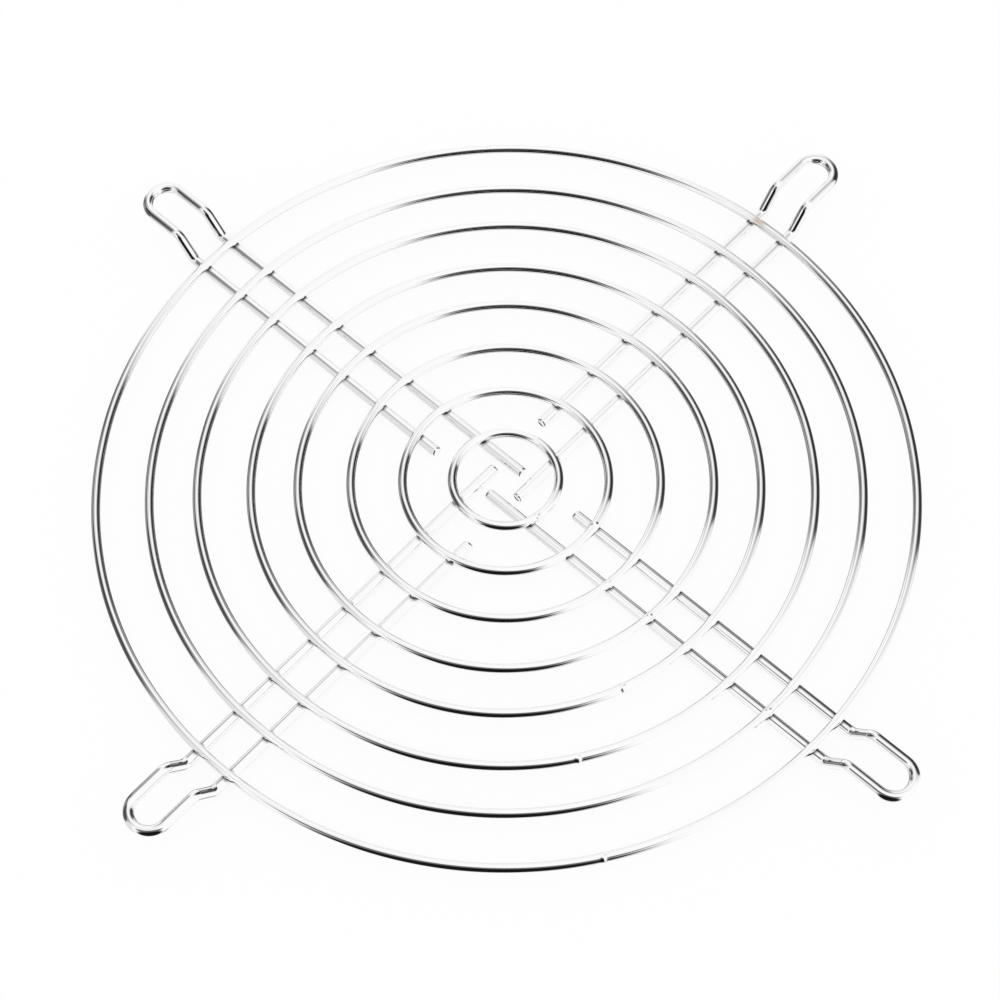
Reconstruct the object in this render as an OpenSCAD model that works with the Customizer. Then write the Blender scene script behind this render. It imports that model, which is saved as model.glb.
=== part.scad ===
// Wire fan guard: eight butt-welded wire rings, welded on top of four
// hairpin support wires. Each hairpin ends outside the rings in a raised
// U loop, the slot for one fan screw.
//
// Frame: millimetres, +Z up. The guard lies on the underside of its
// support wires at Z = 0, centred on the Z axis, with the rings above.
// Support wires 1 to 4 point along +X, +Y, -X and -Y.

/* [Rings] */
// Diameter of the wire that the rings are bent from
ring_wire = 1.35; // [1:0.05:1.8]
// Mean diameter of ring 1, the innermost
ring_1_d = 16.3; // [14:0.1:18]
// Mean diameter of ring 2
ring_2_d = 31.5; // [29:0.1:33]
// Mean diameter of ring 3
ring_3_d = 47.3; // [45:0.1:49]
// Mean diameter of ring 4
ring_4_d = 63.5; // [61:0.1:65]
// Mean diameter of ring 5
ring_5_d = 77.8; // [75:0.1:80]
// Mean diameter of ring 6
ring_6_d = 94.2; // [92:0.1:96]
// Mean diameter of ring 7
ring_7_d = 108.7; // [106:0.1:111]
// Mean diameter of ring 8, the outermost
ring_8_d = 125; // [122:0.1:126]

/* [Support wires] */
// Diameter of the wire that the hairpins are bent from
pin_wire = 1.6; // [1.4:0.05:2]
// Clear width between the two legs of a hairpin, which is the screw slot
slot_w = 4.5; // [4.2:0.1:5]
// How far the long leg runs past the middle of the guard
long_leg_past = 0.8; // [0:0.1:1.2]
// Distance from the middle of the guard to the end of the short leg
short_leg_from = 11.5; // [10:0.1:13]
// Chamfer on the cropped ends of the legs
end_chamfer = 0.15; // [0.05:0.05:0.3]

/* [Screw loops] */
// Side of the square on whose corners the four fan screws stand
hole_pitch = 105; // [104.5:0.1:105.5]
// Height by which the joggle lifts the loop above the legs
loop_rise = 4.1; // [3.5:0.1:4.6]
// Bend radius of the joggle, at the middle of the wire
joggle_r = 1.6; // [1.4:0.1:2]
// Gap between the outermost ring and the start of the joggle
joggle_gap = 1.3; // [1:0.1:1.8]

/* [Welds] */
// Depth to which the rings are pressed into the support wires
set_down = 0.2; // [0.1:0.05:0.3]

/* [Hidden] */

ring_d = [ring_1_d, ring_2_d, ring_3_d, ring_4_d, ring_5_d, ring_6_d, ring_7_d, ring_8_d];
pin_z = pin_wire / 2;
ring_z = pin_wire + ring_wire / 2 - set_down;
leg_pitch = slot_w + pin_wire;
// Distance of a screw from the middle of the guard, to 0.01 mm
loop_r = round(100 * hole_pitch / sqrt(2)) / 100;
joggle_at = ring_8_d / 2 + ring_wire / 2 + joggle_gap;
// The joggle is two equal bends with a straight ramp between them, which
// climbs 4 for every 3 along, so its sine is 0.8 and its cosine 0.6.
slope_sin = 0.8;
slope_cos = 0.6;
slope = atan2(slope_sin, slope_cos);
ramp = (loop_rise - 2 * joggle_r * (1 - slope_cos)) / slope_sin;
joggle_run = 2 * joggle_r * slope_sin + ramp * slope_cos;
wire_fn = 32;
bend_fn = 72;
ring_fn = 180;

// A straight length of the support wire along +X; what follows it is
// carried to its far end.
module straight(len) {
    rotate([0, 90, 0]) cylinder(d = pin_wire, h = len, $fn = wire_fn);
    translate([len, 0, 0]) children();
}

// A bend upwards out of +X, to the slope of the joggle.
module bend_up() {
    translate([0, 0, joggle_r]) rotate([90, 0, 0]) rotate([0, 0, -90])
        rotate_extrude(angle = slope, $fn = bend_fn)
            translate([joggle_r, 0]) circle(d = pin_wire, $fn = wire_fn);
    translate([joggle_r * slope_sin, 0, joggle_r * (1 - slope_cos)])
        rotate([0, -slope, 0]) children();
}

// The same bend, downwards.
module bend_down() {
    mirror([0, 0, 1]) bend_up() mirror([0, 0, 1]) children();
}

// One leg of a hairpin along +X, from its cropped end to the start of
// the loop's half circle.
module leg(from) {
    tip = end_chamfer;
    translate([from, 0, 0]) {
        rotate([0, 90, 0]) cylinder(d1 = pin_wire - 2 * tip, d2 = pin_wire, h = tip, $fn = wire_fn);
        translate([tip, 0, 0])
            straight(joggle_at - from - tip)
                bend_up()
                    straight(ramp)
                        bend_down()
                            straight(loop_r - joggle_at - joggle_run);
    }
}

// The half circle that closes the hairpin.
module loop_end() {
    translate([loop_r, 0, loop_rise]) rotate([0, 0, -90])
        rotate_extrude(angle = 180, $fn = bend_fn)
            translate([leg_pitch / 2, 0]) circle(d = pin_wire, $fn = wire_fn);
}

// The wire of ring n as a bare torus.
module ring_torus(n) {
    translate([0, 0, ring_z]) rotate_extrude($fn = ring_fn)
        translate([ring_d[n - 1] / 2, 0]) circle(d = ring_wire, $fn = wire_fn);
}

// Ring n, counted from the middle.
module ring(n) {
    color([0.86, 0.87, 0.88]) ring_torus(n);
}

// Hairpin n: a long leg that reaches the middle and a short one that
// stops between rings 1 and 2, with a saddle under every ring it carries.
module support_wire(n) {
    color([0.80, 0.81, 0.83]) rotate([0, 0, 90 * (n - 1)]) difference() {
        translate([0, 0, pin_z]) {
            translate([0, -leg_pitch / 2, 0]) leg(-long_leg_past);
            translate([0, leg_pitch / 2, 0]) leg(short_leg_from);
            loop_end();
        }
        for (i = [1:len(ring_d)]) ring_torus(i);
    }
}

ring(1);  // ring_1
ring(2);  // ring_2
ring(3);  // ring_3
ring(4);  // ring_4
ring(5);  // ring_5
ring(6);  // ring_6
ring(7);  // ring_7
ring(8);  // ring_8
support_wire(1);  // support_wire_1
support_wire(2);  // support_wire_2
support_wire(3);  // support_wire_3
support_wire(4);  // support_wire_4
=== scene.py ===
# %% [markdown]
# # A wire fan guard: the finish, the light and the view
# The guard is eight rings of bright wire lying on four hairpin support
# wires, with a small weld wherever two wires cross. Its shapes and sizes
# were settled in the construction model. This notebook loads that model as
# a fixed frame, measures it, draws every wire again as a smooth round wire,
# adds the welds, and gives the whole guard its plated finish.

# %% Open the frame
import math

import bmesh
import bpy
from mathutils import Matrix, Vector, kdtree, noise


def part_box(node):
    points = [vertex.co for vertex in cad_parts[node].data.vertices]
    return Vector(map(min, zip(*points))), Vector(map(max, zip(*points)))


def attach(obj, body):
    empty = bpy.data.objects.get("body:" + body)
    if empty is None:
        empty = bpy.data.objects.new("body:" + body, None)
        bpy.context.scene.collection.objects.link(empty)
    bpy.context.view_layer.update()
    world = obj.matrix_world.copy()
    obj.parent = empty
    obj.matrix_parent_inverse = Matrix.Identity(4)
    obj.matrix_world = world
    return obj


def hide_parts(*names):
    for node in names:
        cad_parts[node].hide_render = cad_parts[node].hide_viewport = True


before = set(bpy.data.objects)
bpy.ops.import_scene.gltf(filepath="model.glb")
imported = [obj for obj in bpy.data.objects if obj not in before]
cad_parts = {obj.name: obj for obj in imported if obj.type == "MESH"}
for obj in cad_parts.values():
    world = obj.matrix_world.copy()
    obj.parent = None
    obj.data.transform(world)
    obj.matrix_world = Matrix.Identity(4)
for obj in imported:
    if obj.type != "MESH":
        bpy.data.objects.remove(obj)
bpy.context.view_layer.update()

# %% [markdown]
# ## Sizes
# Everything below is placed from the frame, so the sizes are read from the
# boxes of its nodes instead of being typed in. A ring's box is as high as
# its wire is thick, and its width is the mean diameter plus one wire. A
# length is rounded to a hundredth of a millimetre, because the frame's
# surfaces are made of flat facets that stop a hair short of the true curve.

# %% Read the sizes of the rings and the support wires
MM = 0.001
RING_NAMES = sorted(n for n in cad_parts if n.startswith("ring_"))
PIN_NAMES = sorted(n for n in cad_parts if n.startswith("support_wire_"))


def tidy(length):
    """A length in metres, to a hundredth of a millimetre."""
    return round(length, 5)


ring_lo, ring_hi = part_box(RING_NAMES[-1])
RING_R = tidy(ring_hi.z - ring_lo.z) / 2
RING_Z = tidy((ring_hi.z + ring_lo.z) / 2)
RING_RADII = []
for name in RING_NAMES:
    lo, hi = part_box(name)
    RING_RADII.append(tidy(max(hi.x - lo.x, hi.y - lo.y)) / 2 - RING_R)

# A box can't tell how thick a hairpin's wire is, so its radius is given.
PIN_R = 0.8 * MM
pin_lo, pin_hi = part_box(PIN_NAMES[0])
PIN_Z = PIN_R
LEG_Y = tidy(pin_hi.y) - PIN_R
LONG_START = tidy(pin_lo.x)
LOOP_Z = tidy(pin_hi.z) - PIN_R
LOOP_X = tidy(pin_hi.x) - PIN_R - LEG_Y
print("ring wire", 2 * RING_R / MM, "ring height", RING_Z / MM)
print("ring radii", [round(r / MM, 3) for r in RING_RADII])
print("leg spacing", 2 * LEG_Y / MM)
print("loop centre", LOOP_X / MM, "loop height", LOOP_Z / MM)

# %% [markdown]
# ## Bending wire
# A real hairpin is made on a wire bender, which does only two things: it
# feeds the wire straight, and it bends it round a pin. The mesh is made in
# the same way. A circle of points is the end of the wire. **Feeding**
# extrudes the circle's edges and moves the new ones along. **Bending**
# spins them about an axis. A curve object with a round bevel would give the
# same tube sooner, but here each point can also remember where it sat while
# the wire was straight, and the finish needs that later on.
#
# Four notes are kept on every point. `straight` is its place on the wire
# before it was bent: across, across, and along. The others are filled in
# later: `heat` where welding touched the wire, `stain` where one weld ran
# too hot, and the crevice note where dark shade is painted beside a weld.

# %% Helpers that feed and bend a wire
SIDES = 32
FACET = 0.25 * MM
UP = (0, 0, 1)


def wire_bmesh():
    """An empty mesh with the four notes on its points."""
    bm = bmesh.new()
    bm.verts.layers.float_vector.new("straight")
    bm.verts.layers.float.new("heat")
    bm.verts.layers.float.new("stain")
    bm.verts.layers.float.new("crevice_shade")
    return bm


def wire_end(bm, radius, at, towards, chamfer=0.0):
    """The flat cropped end of a wire, from which it is fed. Returns its outer edges."""
    turn = Vector(towards).to_track_quat("Z", "Y").to_matrix().to_4x4()
    place = Matrix.Translation(at) @ turn
    made = bmesh.ops.create_circle(
        bm, cap_ends=chamfer > 0, radius=radius - chamfer, segments=SIDES, matrix=place
    )
    note = bm.verts.layers.float_vector["straight"]
    back = place.inverted()
    for v in made["verts"]:
        v[note] = back @ v.co
    edges = list({e for v in made["verts"] for e in v.link_edges})
    if chamfer > 0:
        edges = feed(bm, edges, Vector(towards) * chamfer, 1)
        middle = Vector(at) + Vector(towards) * chamfer
        grow = radius / (radius - chamfer)
        for v in {v for e in edges for v in e.verts}:
            v.co = middle + (v.co - middle) * grow
    return edges


def advance(bm, verts, length):
    """Notes that these points are that much further along the wire."""
    note = bm.verts.layers.float_vector["straight"]
    for v in verts:
        v[note] = v[note] + Vector((0, 0, length))


def feed(bm, edges, move, steps):
    """Feeds the wire straight on by the vector move, and cuts it into that many steps."""
    out = bmesh.ops.extrude_edge_only(bm, edges=edges)["geom"]
    far = {g for g in out if isinstance(g, bmesh.types.BMVert)}
    bmesh.ops.translate(bm, verts=list(far), vec=move)
    advance(bm, far, move.length)
    long = [e for v in far for e in v.link_edges if e.other_vert(v) not in far]
    far_edges = [g for g in out if isinstance(g, bmesh.types.BMEdge) and set(g.verts) <= far]
    if steps > 1:
        bmesh.ops.subdivide_edges(bm, edges=long, cuts=steps - 1)
    return far_edges


def bend(bm, edges, centre, axis, degrees, radius, steps):
    """Bends the wire round an axis through centre. The radius is to the wire's own middle."""
    verts = list({v for e in edges for v in e.verts})
    known = len(bm.verts)
    out = bmesh.ops.spin(
        bm, geom=verts + edges, cent=centre, axis=axis,
        angle=math.radians(degrees), steps=steps, use_duplicate=False,
    )["geom_last"]
    fresh = list(bm.verts)[known:]
    step = radius * math.radians(abs(degrees)) / steps
    for k in range(steps):
        advance(bm, fresh[k * len(verts):(k + 1) * len(verts)], step * (k + 1))
    return [g for g in out if isinstance(g, bmesh.types.BMEdge)]


def facets(length):
    """How many steps a length of wire takes."""
    return max(1, round(length / FACET))


# %% Helper that turns a bmesh into a piece of the guard
def as_piece(bm, name, replaces=()):
    """Closes seams, points the faces outwards, and makes the piece ride on the guard."""
    bmesh.ops.remove_doubles(bm, verts=bm.verts[:], dist=1e-7)
    bmesh.ops.recalc_face_normals(bm, faces=bm.faces[:])
    mesh = bpy.data.meshes.new(name)
    bm.to_mesh(mesh)
    bm.free()
    mesh.shade_smooth()
    piece = bpy.data.objects.new(name, mesh)
    bpy.context.scene.collection.objects.link(piece)
    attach(piece, "root")
    if replaces:
        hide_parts(*replaces)
    print(name, len(mesh.polygons), "faces")
    return piece


# %% [markdown]
# ## Where the wires touch
# Every ring is welded to every leg that it crosses. The long leg of a
# hairpin reaches the middle and carries all eight rings. The short leg
# starts outside ring 1 and carries seven. A crossing lies on the leg, which
# is a line beside the hairpin's own axis, so its distance along the leg
# comes from Pythagoras.

# %% List the crossings
SHORT_START = 11.5 * MM
# The side and the inner end of the long leg, and then of the short one.
LEGS = [(-LEG_Y, LONG_START), (LEG_Y, SHORT_START)]


def crossings_on_leg(y, start):
    """Distances along one leg at which rings cross it."""
    found = []
    for radius in RING_RADII:
        if radius > LEG_Y:
            x = math.sqrt(radius**2 - y**2)
            if x > start:
                found.append(x)
    return found


CROSSINGS = []
for quarter in range(4):
    turn = Matrix.Rotation(quarter * math.pi / 2, 3, "Z")
    for y, start in LEGS:
        for x in crossings_on_leg(y, start):
            CROSSINGS.append(turn @ Vector((x, y, 2 * PIN_R)))
nearest_weld = kdtree.KDTree(len(CROSSINGS))
for i, at in enumerate(CROSSINGS):
    nearest_weld.insert(at, i)
nearest_weld.balance()
print(len(CROSSINGS), "welded crossings")

# %% [markdown]
# ## The rings
# A ring is a length of wire rolled round until its two ends meet, and the
# ends are butt-welded by pressing them together while they are hot. That
# leaves a small upset bead. The wire starts and stops at that bead here too.
# After the bend is made, points close to the joint are pushed outwards a
# little, and the whole ring gets the slight waviness of rolled wire. The
# stretches beside the joint get fine steps, so that the bead is round.

# %% Make the eight rings
# Where each ring's butt weld stands, in degrees round from support wire 1.
BUTT_WELDS = [258.0, 281.2, 262.6, 264.5, 248.4, 235.1, 266.8, 235.1]
BEAD_STRETCH = 2.0 * MM
BEAD_STEPS = 40
BEAD_HEIGHT = 0.07 * MM
BEAD_HALF = 0.35 * MM
BEAD_GRAIN = 0.5 * MM
BEAD_UNEVEN = 0.6
BUTT_HEAT = 0.9 * MM
# A rolled arc is so gentle that its steps may be four times a facet.
ARC_FACETS = 4
FEWEST_ARC_STEPS = 180
WAVE = 0.03 * MM
WAVE_LENGTH = 9 * MM
# Moves the up-and-down waviness away from the in-and-out one.
WAVE_SHIFT = Vector((7, 3, 1))


def ring_wire(number, radius, weld_at):
    """One ring, from its butt weld right round to it again."""
    bm = wire_bmesh()
    a = math.radians(weld_at)
    start = Vector((radius * math.cos(a), radius * math.sin(a), RING_Z))
    along = Vector((-math.sin(a), math.cos(a), 0))
    edges = wire_end(bm, RING_R, start, along)
    narrow = math.degrees(BEAD_STRETCH / radius)
    middle = Vector((0, 0, RING_Z))
    edges = bend(bm, edges, middle, UP, narrow, radius, BEAD_STEPS)
    wide = 360 - 2 * narrow
    steps = facets(radius * math.radians(wide)) // ARC_FACETS
    edges = bend(bm, edges, middle, UP, wide, radius, max(FEWEST_ARC_STEPS, steps))
    bend(bm, edges, middle, UP, narrow, radius, BEAD_STEPS)
    note = bm.verts.layers.float_vector["straight"]
    heat = bm.verts.layers.float["heat"]
    length = 2 * math.pi * radius
    for v in bm.verts:
        flat = Vector((v.co.x, v.co.y, 0))
        core = flat.normalized() * radius + middle
        out = (v.co - core).normalized()
        joint = min(v[note].z, length - v[note].z)
        rough = 1 + BEAD_UNEVEN * noise.noise(v.co / BEAD_GRAIN)
        v.co += out * BEAD_HEIGHT * rough * math.exp(-((joint / BEAD_HALF) ** 2))
        v[heat] = math.exp(-((joint / BUTT_HEAT) ** 2))
        place = core / WAVE_LENGTH
        v.co += flat.normalized() * WAVE * noise.noise(place)
        v.co.z += WAVE * noise.noise(place + WAVE_SHIFT)
    heat_from_crossings(bm)
    scorch(bm)
    return as_piece(bm, f"ring_{number}_wire", [f"ring_{number}"])


SPOT_HEAT = 0.95 * MM


def heat_from_crossings(bm):
    """Adds the mark that a spot weld leaves on both of its wires."""
    heat = bm.verts.layers.float["heat"]
    for v in bm.verts:
        _, _, near = nearest_weld.find(v.co)
        v[heat] = max(v[heat], math.exp(-((near / SPOT_HEAT) ** 2)))


# The mark of the weld that ran too hot, on top of the outer ring and a little to
# one side of its crossing with the short leg of support wire 1.
SCORCHED = Vector((math.sqrt(RING_RADII[-1] ** 2 - LEG_Y**2), LEG_Y, RING_Z + RING_R))
SCORCHED.rotate(Matrix.Rotation(math.radians(-1.4), 3, "Z"))
SCORCH_REACH = 0.8 * MM
SCORCH_GRAIN = 0.35 * MM
SCORCH_UNEVEN = 0.5


def scorch(bm):
    """Leaves the brown mark of the one weld that ran too hot."""
    stain = bm.verts.layers.float["stain"]
    for v in bm.verts:
        away = (v.co - SCORCHED).length
        ragged = 1 + SCORCH_UNEVEN * noise.noise(v.co / SCORCH_GRAIN)
        v[stain] = math.exp(-((away / (SCORCH_REACH * ragged)) ** 2))


rings = [ring_wire(n + 1, r, w) for n, (r, w) in enumerate(zip(RING_RADII, BUTT_WELDS))]

# %% [markdown]
# ## The support wires
# Each hairpin is one wire bent five times. On the way out it is bent up
# and then level again, which makes a joggle. Then comes the half circle of
# the screw loop, and on the way back the same joggle, down and level. The
# joggle lifts the screw loop above the legs and the rings. Its ramp climbs
# four for every three along.

# %% Make the four support wires
JOGGLE_R = 1.6 * MM
JOGGLE_STEPS = 12
LOOP_STEPS = 40
JOGGLE_SIN, JOGGLE_COS = 0.8, 0.6
JOGGLE_DEG = math.degrees(math.atan2(JOGGLE_SIN, JOGGLE_COS))
# The joggle starts a little outside the outer ring.
JOGGLE_AT = RING_RADII[-1] + RING_R + 1.3 * MM
RISE = LOOP_Z - PIN_Z
RAMP = (RISE - 2 * JOGGLE_R * (1 - JOGGLE_COS)) / JOGGLE_SIN
JOGGLE_RUN = 2 * JOGGLE_R * JOGGLE_SIN + RAMP * JOGGLE_COS
LEVEL = LOOP_X - JOGGLE_AT - JOGGLE_RUN
END_CHAMFER = 0.15 * MM
print("joggle", round(JOGGLE_DEG, 1), "degrees, run", round(JOGGLE_RUN / MM, 2), "mm")


def joggle_bend(bm, edges, centre, axis):
    """One of a joggle's bends."""
    return bend(bm, edges, centre, axis, JOGGLE_DEG, JOGGLE_R, JOGGLE_STEPS)


def leg_out(bm, edges, y, start):
    """From the cropped end of a leg out to the screw loop."""
    out = Vector((1, 0, 0))
    foot = (JOGGLE_AT, y, PIN_Z + JOGGLE_R)
    top = (JOGGLE_AT + JOGGLE_RUN, y, LOOP_Z - JOGGLE_R)
    ramp = Vector((JOGGLE_COS, 0, JOGGLE_SIN)) * RAMP
    edges = feed(bm, edges, out * (JOGGLE_AT - start), facets(JOGGLE_AT - start))
    edges = joggle_bend(bm, edges, foot, (0, -1, 0))
    edges = feed(bm, edges, ramp, facets(RAMP))
    edges = joggle_bend(bm, edges, top, (0, 1, 0))
    return feed(bm, edges, out * LEVEL, facets(LEVEL))


def leg_back(bm, edges, y, start):
    """From the screw loop back in to the cropped end of the other leg."""
    back = Vector((-1, 0, 0))
    foot = (JOGGLE_AT, y, PIN_Z + JOGGLE_R)
    top = (JOGGLE_AT + JOGGLE_RUN, y, LOOP_Z - JOGGLE_R)
    ramp = Vector((-JOGGLE_COS, 0, -JOGGLE_SIN)) * RAMP
    edges = feed(bm, edges, back * LEVEL, facets(LEVEL))
    edges = joggle_bend(bm, edges, top, (0, -1, 0))
    edges = feed(bm, edges, ramp, facets(RAMP))
    edges = joggle_bend(bm, edges, foot, (0, 1, 0))
    length = JOGGLE_AT - start - END_CHAMFER
    edges = feed(bm, edges, back * length, facets(length))
    tip = feed(bm, edges, back * END_CHAMFER, 1)
    middle = Vector((start, y, PIN_Z))
    shrink = (PIN_R - END_CHAMFER) / PIN_R
    for v in {v for e in tip for v in e.verts}:
        v.co = middle + (v.co - middle) * shrink
    bmesh.ops.edgeloop_fill(bm, edges=tip)


def support_wire(number):
    """One hairpin, bent along +X and then turned to its own quarter."""
    bm = wire_bmesh()
    y, start = LEGS[0]
    tip = Vector((start, y, PIN_Z))
    edges = wire_end(bm, PIN_R, tip, Vector((1, 0, 0)), END_CHAMFER)
    edges = leg_out(bm, edges, y, start + END_CHAMFER)
    edges = bend(bm, edges, (LOOP_X, 0, LOOP_Z), UP, 180, LEG_Y, LOOP_STEPS)
    y, start = LEGS[1]
    leg_back(bm, edges, y, start)
    bmesh.ops.rotate(
        bm, verts=bm.verts[:], cent=(0, 0, 0),
        matrix=Matrix.Rotation((number - 1) * math.pi / 2, 3, "Z"),
    )
    heat_from_crossings(bm)
    paint_shade_beside_welds(bm)
    return as_piece(
        bm, f"support_wire_{number}_bent", [f"support_wire_{number}"]
    )


# How far from the crossing the painted shade reaches, and over what distance it fades.
CREVICE_REACH = 1.1 * MM
CREVICE_FADE = 0.45 * MM
CREVICE_GRAIN = 0.4 * MM
CREVICE_UNEVEN = 0.12 * MM


def paint_shade_beside_welds(bm):
    """Marks the leg close beside each weld for painted shade, which darkens it."""
    crevice_shade = bm.verts.layers.float["crevice_shade"]
    for v in bm.verts:
        _, _, near = nearest_weld.find(v.co)
        edge = near + CREVICE_UNEVEN * noise.noise(v.co / CREVICE_GRAIN)
        v[crevice_shade] = min(max((CREVICE_REACH - edge) / CREVICE_FADE, 0), 1)


hairpins = [support_wire(n) for n in (1, 2, 3, 4)]

# %% [markdown]
# ## The welds
# The guard is spot-welded: each crossing is squeezed between two
# electrodes, the ring sinks a little way into the leg, and the metal that
# is pushed aside stands as a low rounded collar round the contact. The
# collar isn't flat. The contact of two crossed round wires is a saddle,
# high along the leg and low across it, so a thin torus is spun and then
# pressed to that saddle.

# %% Make the weld collars
COLLAR_R = 0.16 * MM
COLLAR_SIDES = 10
COLLAR_STEPS = 28
COLLAR_GRAIN = 0.4 * MM
COLLAR_UNEVEN = 0.25
# How far apart the noise of two collars is read, so that no two are alike.
SEED_STEP = 1.7
SINK = 2 * PIN_R + RING_R - RING_Z
ALONG_LEG = math.sqrt(2 * RING_R * SINK)
ACROSS_LEG = math.sqrt(2 * PIN_R * SINK)


def collar(at, angle, seed):
    """One collar: a small torus stretched to the contact and pressed to the saddle."""
    bm = wire_bmesh()
    upright = Matrix.Translation((ACROSS_LEG, 0, 0)) @ Matrix.Rotation(math.pi / 2, 4, "X")
    made = bmesh.ops.create_circle(
        bm, radius=COLLAR_R, segments=COLLAR_SIDES, matrix=upright
    )
    bmesh.ops.spin(
        bm, geom=made["verts"] + bm.edges[:], cent=(0, 0, 0), axis=UP,
        angle=2 * math.pi, steps=COLLAR_STEPS, use_merge=True, use_duplicate=False,
    )
    turn = Matrix.Rotation(angle, 3, "Z")
    heat = bm.verts.layers.float["heat"]
    crevice_shade = bm.verts.layers.float["crevice_shade"]
    note = bm.verts.layers.float_vector["straight"]
    for v in bm.verts:
        swell = 1 + COLLAR_UNEVEN * noise.noise(v.co / COLLAR_GRAIN + Vector((seed, 0, 0)))
        x = v.co.x * ALONG_LEG / ACROSS_LEG * swell
        y = v.co.y * swell
        fall = PIN_R - math.sqrt(max(PIN_R**2 - y * y, 0))
        v[note] = v.co + Vector((0, 0, seed * MM))
        v[heat] = 1.0
        # The whole collar gets the painted shade, a dark base colour.
        v[crevice_shade] = 1.0
        v.co = at + turn @ Vector((x, y, v.co.z * swell - fall))
    return bm


collars = wire_bmesh()
for i, at in enumerate(CROSSINGS):
    quarter = i // (len(CROSSINGS) // 4)
    one = collar(at, quarter * math.pi / 2, i * SEED_STEP)
    carrier = bpy.data.meshes.new("collar")
    one.to_mesh(carrier)
    one.free()
    collars.from_mesh(carrier)
    bpy.data.meshes.remove(carrier)
weld_collars = as_piece(collars, "weld_collars")

# %% [markdown]
# ## Bright plating
# The welded guard is dipped and plated, so every surface is the same bright
# metal. Plating follows what is under it: faint lines that the drawing die
# left along the wire, and a duller, slightly uneven patch where a weld got
# hot. The lines are a noise pattern stretched along the wire, read from the
# `straight` note, so they turn with every bend. The `stain` note tints the
# one weld that ran too hot. The crevice note paints shade into the colour:
# it darkens the leg and the collar beside each weld.
#
# The rings are left out of reflections. With them in, each ring would show
# its neighbour as a white hairline inside its dark line. A real ring would
# also darken the leg just under it, and the dark crevices are painted shade
# that stands in for that.
# This isn't quite how real metal behaves, and it was chosen for clean lines.


# %% Make the plated finish
PLATED = (0.965, 0.967, 0.97)
HEATED = (0.80, 0.77, 0.72, 1)
SCORCH_BROWN = (0.52, 0.40, 0.27, 1)
# A dark colour painted beside each weld and on the collars, as shade.
PAINTED_WELD_SHADE = (0.10, 0.10, 0.11, 1)
# The noise scales are in turns to the metre.
LINE_SCALE = 5000.0
LINE_STRETCH = 0.02
CLOUD_SCALE = 700.0
SMOOTHEST = 0.02
ROUGHEST = 0.07
HEAT_DULLS = 0.12


def add(nodes, kind, **settings):
    """A shader node with some of its sockets and properties set."""
    node = nodes.new(kind)
    for key, value in settings.items():
        if key in node.inputs:
            node.inputs[key].default_value = value
        else:
            setattr(node, key, value)
    return node


def bright_plating(name, tint):
    """Bright plated wire with shade painted beside the welds; tint is its colour."""
    material = bpy.data.materials.new(name)
    material.use_nodes = True
    tree = material.node_tree
    nodes, links = tree.nodes, tree.links
    shader = nodes["Principled BSDF"]
    shader.inputs["Metallic"].default_value = 1.0

    place = add(nodes, "ShaderNodeAttribute", attribute_name="straight")
    heat = add(nodes, "ShaderNodeAttribute", attribute_name="heat")
    along = add(nodes, "ShaderNodeMapping")
    along.inputs["Scale"].default_value = (1.0, 1.0, LINE_STRETCH)
    links.new(place.outputs["Vector"], along.inputs["Vector"])
    lines = add(nodes, "ShaderNodeTexNoise", Scale=LINE_SCALE, Detail=3.0, Roughness=0.6)
    links.new(along.outputs["Vector"], lines.inputs["Vector"])
    cloud = add(nodes, "ShaderNodeTexNoise", Scale=CLOUD_SCALE, Detail=4.0, Roughness=0.6)
    links.new(place.outputs["Vector"], cloud.inputs["Vector"])

    colour = add(nodes, "ShaderNodeMix", data_type="RGBA")
    colour.inputs["A"].default_value = (*tint, 1)
    colour.inputs["B"].default_value = HEATED
    patch = add(nodes, "ShaderNodeMath", operation="MULTIPLY")
    links.new(heat.outputs["Fac"], patch.inputs[0])
    links.new(cloud.outputs["Fac"], patch.inputs[1])
    links.new(patch.outputs[0], colour.inputs["Factor"])
    stain = add(nodes, "ShaderNodeAttribute", attribute_name="stain")
    scorched = add(nodes, "ShaderNodeMix", data_type="RGBA")
    scorched.inputs["B"].default_value = SCORCH_BROWN
    links.new(stain.outputs["Fac"], scorched.inputs["Factor"])
    links.new(colour.outputs["Result"], scorched.inputs["A"])
    # Painted shade: the crevice note mixes a dark colour into the base colour.
    crevice_shade = add(nodes, "ShaderNodeAttribute", attribute_name="crevice_shade")
    weld_shade_mix = add(nodes, "ShaderNodeMix", data_type="RGBA")
    weld_shade_mix.inputs["B"].default_value = PAINTED_WELD_SHADE
    links.new(crevice_shade.outputs["Fac"], weld_shade_mix.inputs["Factor"])
    links.new(scorched.outputs["Result"], weld_shade_mix.inputs["A"])
    links.new(weld_shade_mix.outputs["Result"], shader.inputs["Base Color"])

    rough = add(nodes, "ShaderNodeMapRange")
    rough.inputs["From Min"].default_value = 0.3
    rough.inputs["From Max"].default_value = 0.8
    rough.inputs["To Min"].default_value = SMOOTHEST
    rough.inputs["To Max"].default_value = ROUGHEST
    links.new(cloud.outputs["Fac"], rough.inputs["Value"])
    dull = add(nodes, "ShaderNodeMath", operation="MULTIPLY_ADD")
    dull.inputs[1].default_value = HEAT_DULLS
    links.new(heat.outputs["Fac"], dull.inputs[0])
    links.new(rough.outputs["Result"], dull.inputs[2])
    links.new(dull.outputs[0], shader.inputs["Roughness"])

    bump = add(nodes, "ShaderNodeBump", Strength=0.02, Distance=0.02 * MM)
    links.new(lines.outputs["Fac"], bump.inputs["Height"])
    links.new(bump.outputs["Normal"], shader.inputs["Normal"])
    return material


ring_finish = bright_plating("bright_plating_on_ring_wire", PLATED)
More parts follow.
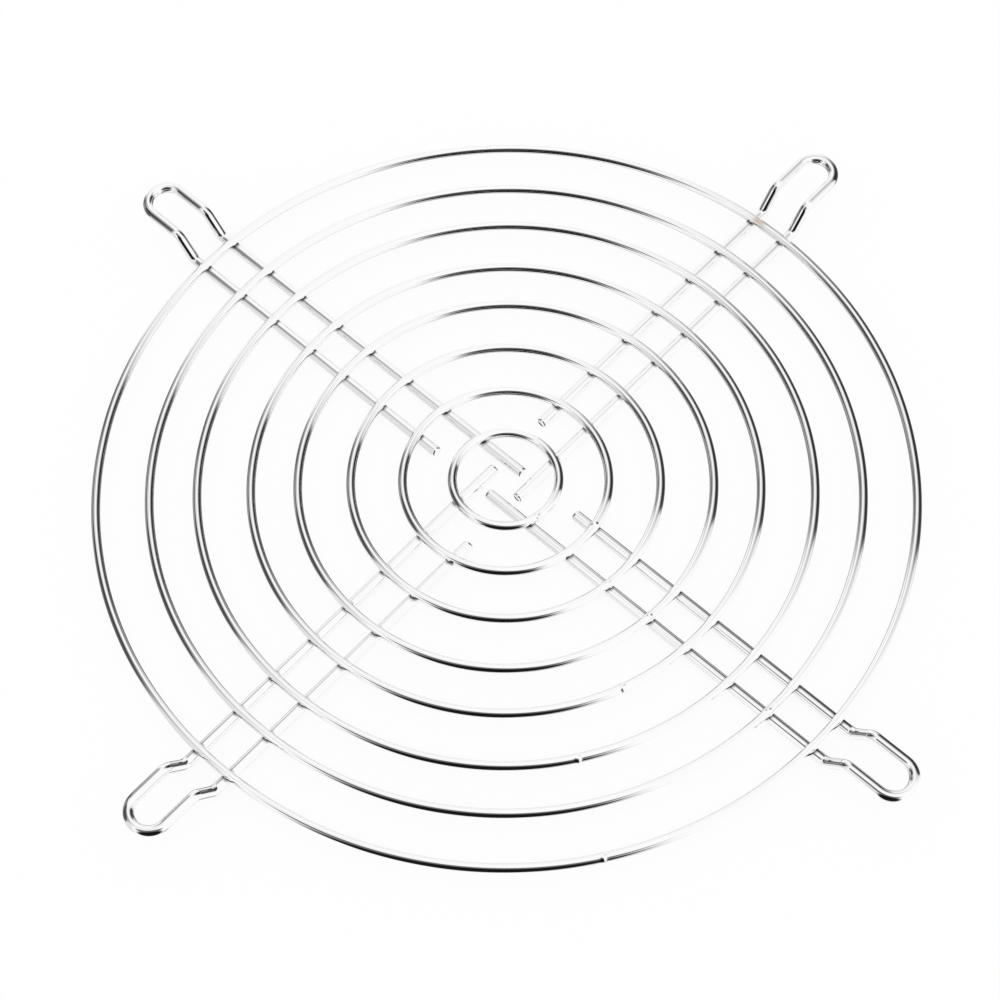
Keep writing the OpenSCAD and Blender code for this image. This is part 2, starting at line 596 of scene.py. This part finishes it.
# The support wires and collars carry the shade painted beside the welds.
pin_finish = bright_plating("bright_plating_and_painted_weld_shade_on_support_wire", PLATED)
for piece in rings:
    piece.data.materials.append(ring_finish)
    piece.visible_glossy = False
for piece in hairpins + [weld_collars]:
    piece.data.materials.append(pin_finish)
print("plated", len(rings) + len(hairpins) + 1, "pieces")

# %% [markdown]
# ## The table
# Bright metal shows only what stands round it, so the table top is left out
# of the reflections, and they show the tent's lower half instead. The table
# keeps the guard's own faint, soft shadow. Nine tenths of what the camera
# sees of it is a plain white glow, so that it stays white to its edge.

# %% Make the table
TABLE_HALF = 6.0
TABLE_WHITE = (0.97, 0.97, 0.97, 1)
TABLE_GLOW = 0.9
table_bm = bmesh.new()
bmesh.ops.create_grid(table_bm, x_segments=1, y_segments=1, size=TABLE_HALF)
table_mesh = bpy.data.meshes.new("table")
table_bm.to_mesh(table_mesh)
table_bm.free()
table = bpy.data.objects.new("table", table_mesh)
bpy.context.scene.collection.objects.link(table)
table.visible_glossy = False

paper = bpy.data.materials.new("white_table")
paper.use_nodes = True
nodes, links = paper.node_tree.nodes, paper.node_tree.links
matt = nodes["Principled BSDF"]
matt.inputs["Base Color"].default_value = TABLE_WHITE
matt.inputs["Roughness"].default_value = 0.9
matt.inputs["Specular IOR Level"].default_value = 0.0
glow = add(nodes, "ShaderNodeEmission")
path = add(nodes, "ShaderNodeLightPath")
seen = add(nodes, "ShaderNodeMath", operation="MULTIPLY")
seen.inputs[1].default_value = TABLE_GLOW
links.new(path.outputs["Is Camera Ray"], seen.inputs[0])
blend = add(nodes, "ShaderNodeMixShader")
links.new(seen.outputs[0], blend.inputs["Fac"])
links.new(matt.outputs[0], blend.inputs[1])
links.new(glow.outputs[0], blend.inputs[2])
links.new(blend.outputs[0], nodes["Material Output"].inputs["Surface"])
table_mesh.materials.append(paper)

# %% [markdown]
# ## The tent
# Polished wire in an all-white tent vanishes, because it shows white
# everywhere. So openings are left in the tent, and the wire shows them as
# thin dark lines that draw its roundness. This tent is a ball of
# cloth half a metre in radius, white, with soft-edged dark openings. Only
# reflections see it: to the camera and to the table it isn't there, and
# they get the plain white world behind it.
#
# Each opening is an ellipse on a map whose two axes are the bearing and the
# height above the horizon, both in degrees. A Mapping node of the texture
# kind undoes the ellipse's place, tilt and size, so that the length of what
# is left is 1 on its rim. Bearings are counted from a line that stands
# opposite the barest side of the tent, so that the map's own edge cuts only
# the faded rim of one opening, low down.
#
# The numbers of the openings weren't set by hand. A fitting program moved
# the openings until the wires showed the wanted lines, and its numbers were
# then rounded. Only the first opening's depth was changed afterwards. Few
# of them mean anything alone, so a tent made afresh is better begun with
# four to six openings set by eye.

# %% Pitch the tent
TENT_RADIUS = 0.5
TENT_AROUND = 96
tent_bm = bmesh.new()
bmesh.ops.create_uvsphere(
    tent_bm, u_segments=TENT_AROUND, v_segments=TENT_AROUND // 2, radius=TENT_RADIUS
)
tent_mesh = bpy.data.meshes.new("tent")
tent_bm.to_mesh(tent_mesh)
tent_bm.free()
tent = bpy.data.objects.new("tent", tent_mesh)
bpy.context.scene.collection.objects.link(tent)
for ray in ("camera", "diffuse", "transmission", "volume_scatter", "shadow"):
    setattr(tent, "visible_" + ray, False)

cloth = bpy.data.materials.new("tent_cloth")
cloth.use_nodes = True
cloth.cycles.emission_sampling = "NONE"
tent_mesh.materials.append(cloth)
nodes, links = cloth.node_tree.nodes, cloth.node_tree.links
nodes.remove(nodes["Principled BSDF"])
ZERO_BEARING = 94.07
place = add(nodes, "ShaderNodeTexCoord")
outward = add(nodes, "ShaderNodeVectorMath", operation="NORMALIZE")
links.new(place.outputs["Object"], outward.inputs[0])
turned = add(nodes, "ShaderNodeVectorRotate", rotation_type="Z_AXIS")
turned.inputs["Angle"].default_value = -math.radians(ZERO_BEARING)
links.new(outward.outputs[0], turned.inputs["Vector"])
parts = add(nodes, "ShaderNodeSeparateXYZ")
links.new(turned.outputs[0], parts.inputs[0])


def math_node(operation, *values):
    """A Math node fed with sockets or plain numbers."""
    node = add(nodes, "ShaderNodeMath", operation=operation)
    for socket, value in zip(node.inputs, values):
        if isinstance(value, (int, float)):
            socket.default_value = value
        else:
            links.new(value, socket)
    return node.outputs[0]


bearing = math_node("ARCTAN2", parts.outputs["Y"], parts.outputs["X"])
height = math_node("ARCSINE", parts.outputs["Z"])
sky_map = add(nodes, "ShaderNodeCombineXYZ")
links.new(math_node("DEGREES", bearing), sky_map.inputs["X"])
links.new(math_node("DEGREES", height), sky_map.inputs["Y"])


def opening(bearing, height, half_width, half_height, tilt, soft, depth):
    """The tent's white past one opening: 1 outside it and 1 - depth inside."""
    place = add(nodes, "ShaderNodeMapping", vector_type="TEXTURE")
    place.inputs["Location"].default_value = (bearing, height, 0)
    place.inputs["Rotation"].default_value = (0, 0, math.radians(tilt))
    place.inputs["Scale"].default_value = (half_width, half_height, 1)
    links.new(sky_map.outputs[0], place.inputs["Vector"])
    rim = add(nodes, "ShaderNodeVectorMath", operation="LENGTH")
    links.new(place.outputs[0], rim.inputs[0])
    fade = add(nodes, "ShaderNodeMapRange", interpolation_type="SMOOTHSTEP")
    fade.inputs["From Min"].default_value = 1 - soft
    fade.inputs["From Max"].default_value = 1 + soft
    fade.inputs["To Min"].default_value = 1 - depth
    fade.inputs["To Max"].default_value = 1
    links.new(rim.outputs["Value"], fade.inputs["Value"])
    return fade.outputs["Result"]


# Bearing, height, half width, half height and tilt in degrees, then softness
# and depth as shares. A depth below nothing is a strip of cloth hung across an
# opening. These are the numbers that the fitting program gave.
OPENINGS = [
    (121.6, -10.0, 34.4, 51.2, 7.3, 0.18, 0.99),
    (115.6, 41.8, 44.8, 24.9, -14.4, 0.16, 0.83),
    (-108.5, 0.1, 20.3, 49.5, 1.5, 0.12, 0.84),
    (-75.0, -65.8, 13.1, 78.3, 10.2, 0.62, 0.96),
    (-101.9, 37.3, 37.7, 24.4, 34.4, 0.51, 0.41),
    (21.6, 0.1, 29.4, 44.4, -9.8, 0.12, 0.87),
    (14.5, 37.6, 34.4, 24.5, -1.9, 0.36, 0.63),
    (-15.7, -94.6, 38.4, 60.4, 14.5, 0.36, 1.00),
    (-103.1, 20.1, 20.0, 33.1, -42.4, 0.12, 0.71),
    (35.6, 43.0, 22.7, 88.4, 27.2, 0.17, 0.21),
    (157.7, -94.6, 20.8, 40.2, -7.3, 0.28, 0.80),
    (-49.1, 21.9, 32.8, 6.0, 7.2, 0.12, 0.18),
    (13.7, 6.3, 7.0, 56.5, 11.0, 0.21, -1.50),
    (54.6, -34.6, 13.2, 20.9, -13.0, 0.12, 0.19),
    (-116.0, -19.2, 11.2, 19.5, -60.0, 0.12, 0.52),
]
white = opening(*OPENINGS[0])
for values in OPENINGS[1:]:
    white = math_node("MULTIPLY", white, opening(*values))
white = math_node("MINIMUM", white, 1.0)
glow = add(nodes, "ShaderNodeEmission")
links.new(white, glow.inputs["Color"])
links.new(glow.outputs[0], nodes["Material Output"].inputs["Surface"])
print(len(OPENINGS), "openings in the tent")

# %% [markdown]
# Behind the tent the world is plain white. It lights the table evenly, and
# the camera sees it past the table's edge.

# %% Plain white world
world = bpy.data.worlds.new("plain_white")
bpy.context.scene.world = world
world.use_nodes = True
world.node_tree.nodes["Background"].inputs["Color"].default_value = (1, 1, 1, 1)

# %% [markdown]
# ## The camera
# The camera looks down on the guard at a little over sixty degrees, from
# between support wires 3 and 4, which puts the raised loops in the corners
# of the picture. A long lens keeps the circles calm.

# %% Place the camera
CAMERA_BEARING = -135.93
ELEVATION = 61.216
ROLL = -1.78
LENS = 86.78
SENSOR = 36
SIDEWAYS = -0.958 * MM
BACKWARDS = -179.88 * MM
UPWARDS = 320.83 * MM
camera = bpy.data.objects.new("camera", bpy.data.cameras.new("camera"))
bpy.context.scene.collection.objects.link(camera)
camera.data.lens = LENS
camera.data.sensor_width = SENSOR
turn = Matrix.Rotation(math.radians(CAMERA_BEARING + 90), 4, "Z")
tilt = Matrix.Rotation(math.radians(90 - ELEVATION), 4, "X")
roll = Matrix.Rotation(math.radians(ROLL), 4, "Z")
stand = turn @ Matrix.Translation((SIDEWAYS, BACKWARDS, UPWARDS + RING_Z))
camera.matrix_world = stand @ tilt @ roll
bpy.context.scene.camera = camera
print("camera", round((UPWARDS**2 + BACKWARDS**2) ** 0.5 / MM), "mm from the rings' middle")

# %% Plain display of colours
bpy.context.scene.view_settings.view_transform = "Standard"
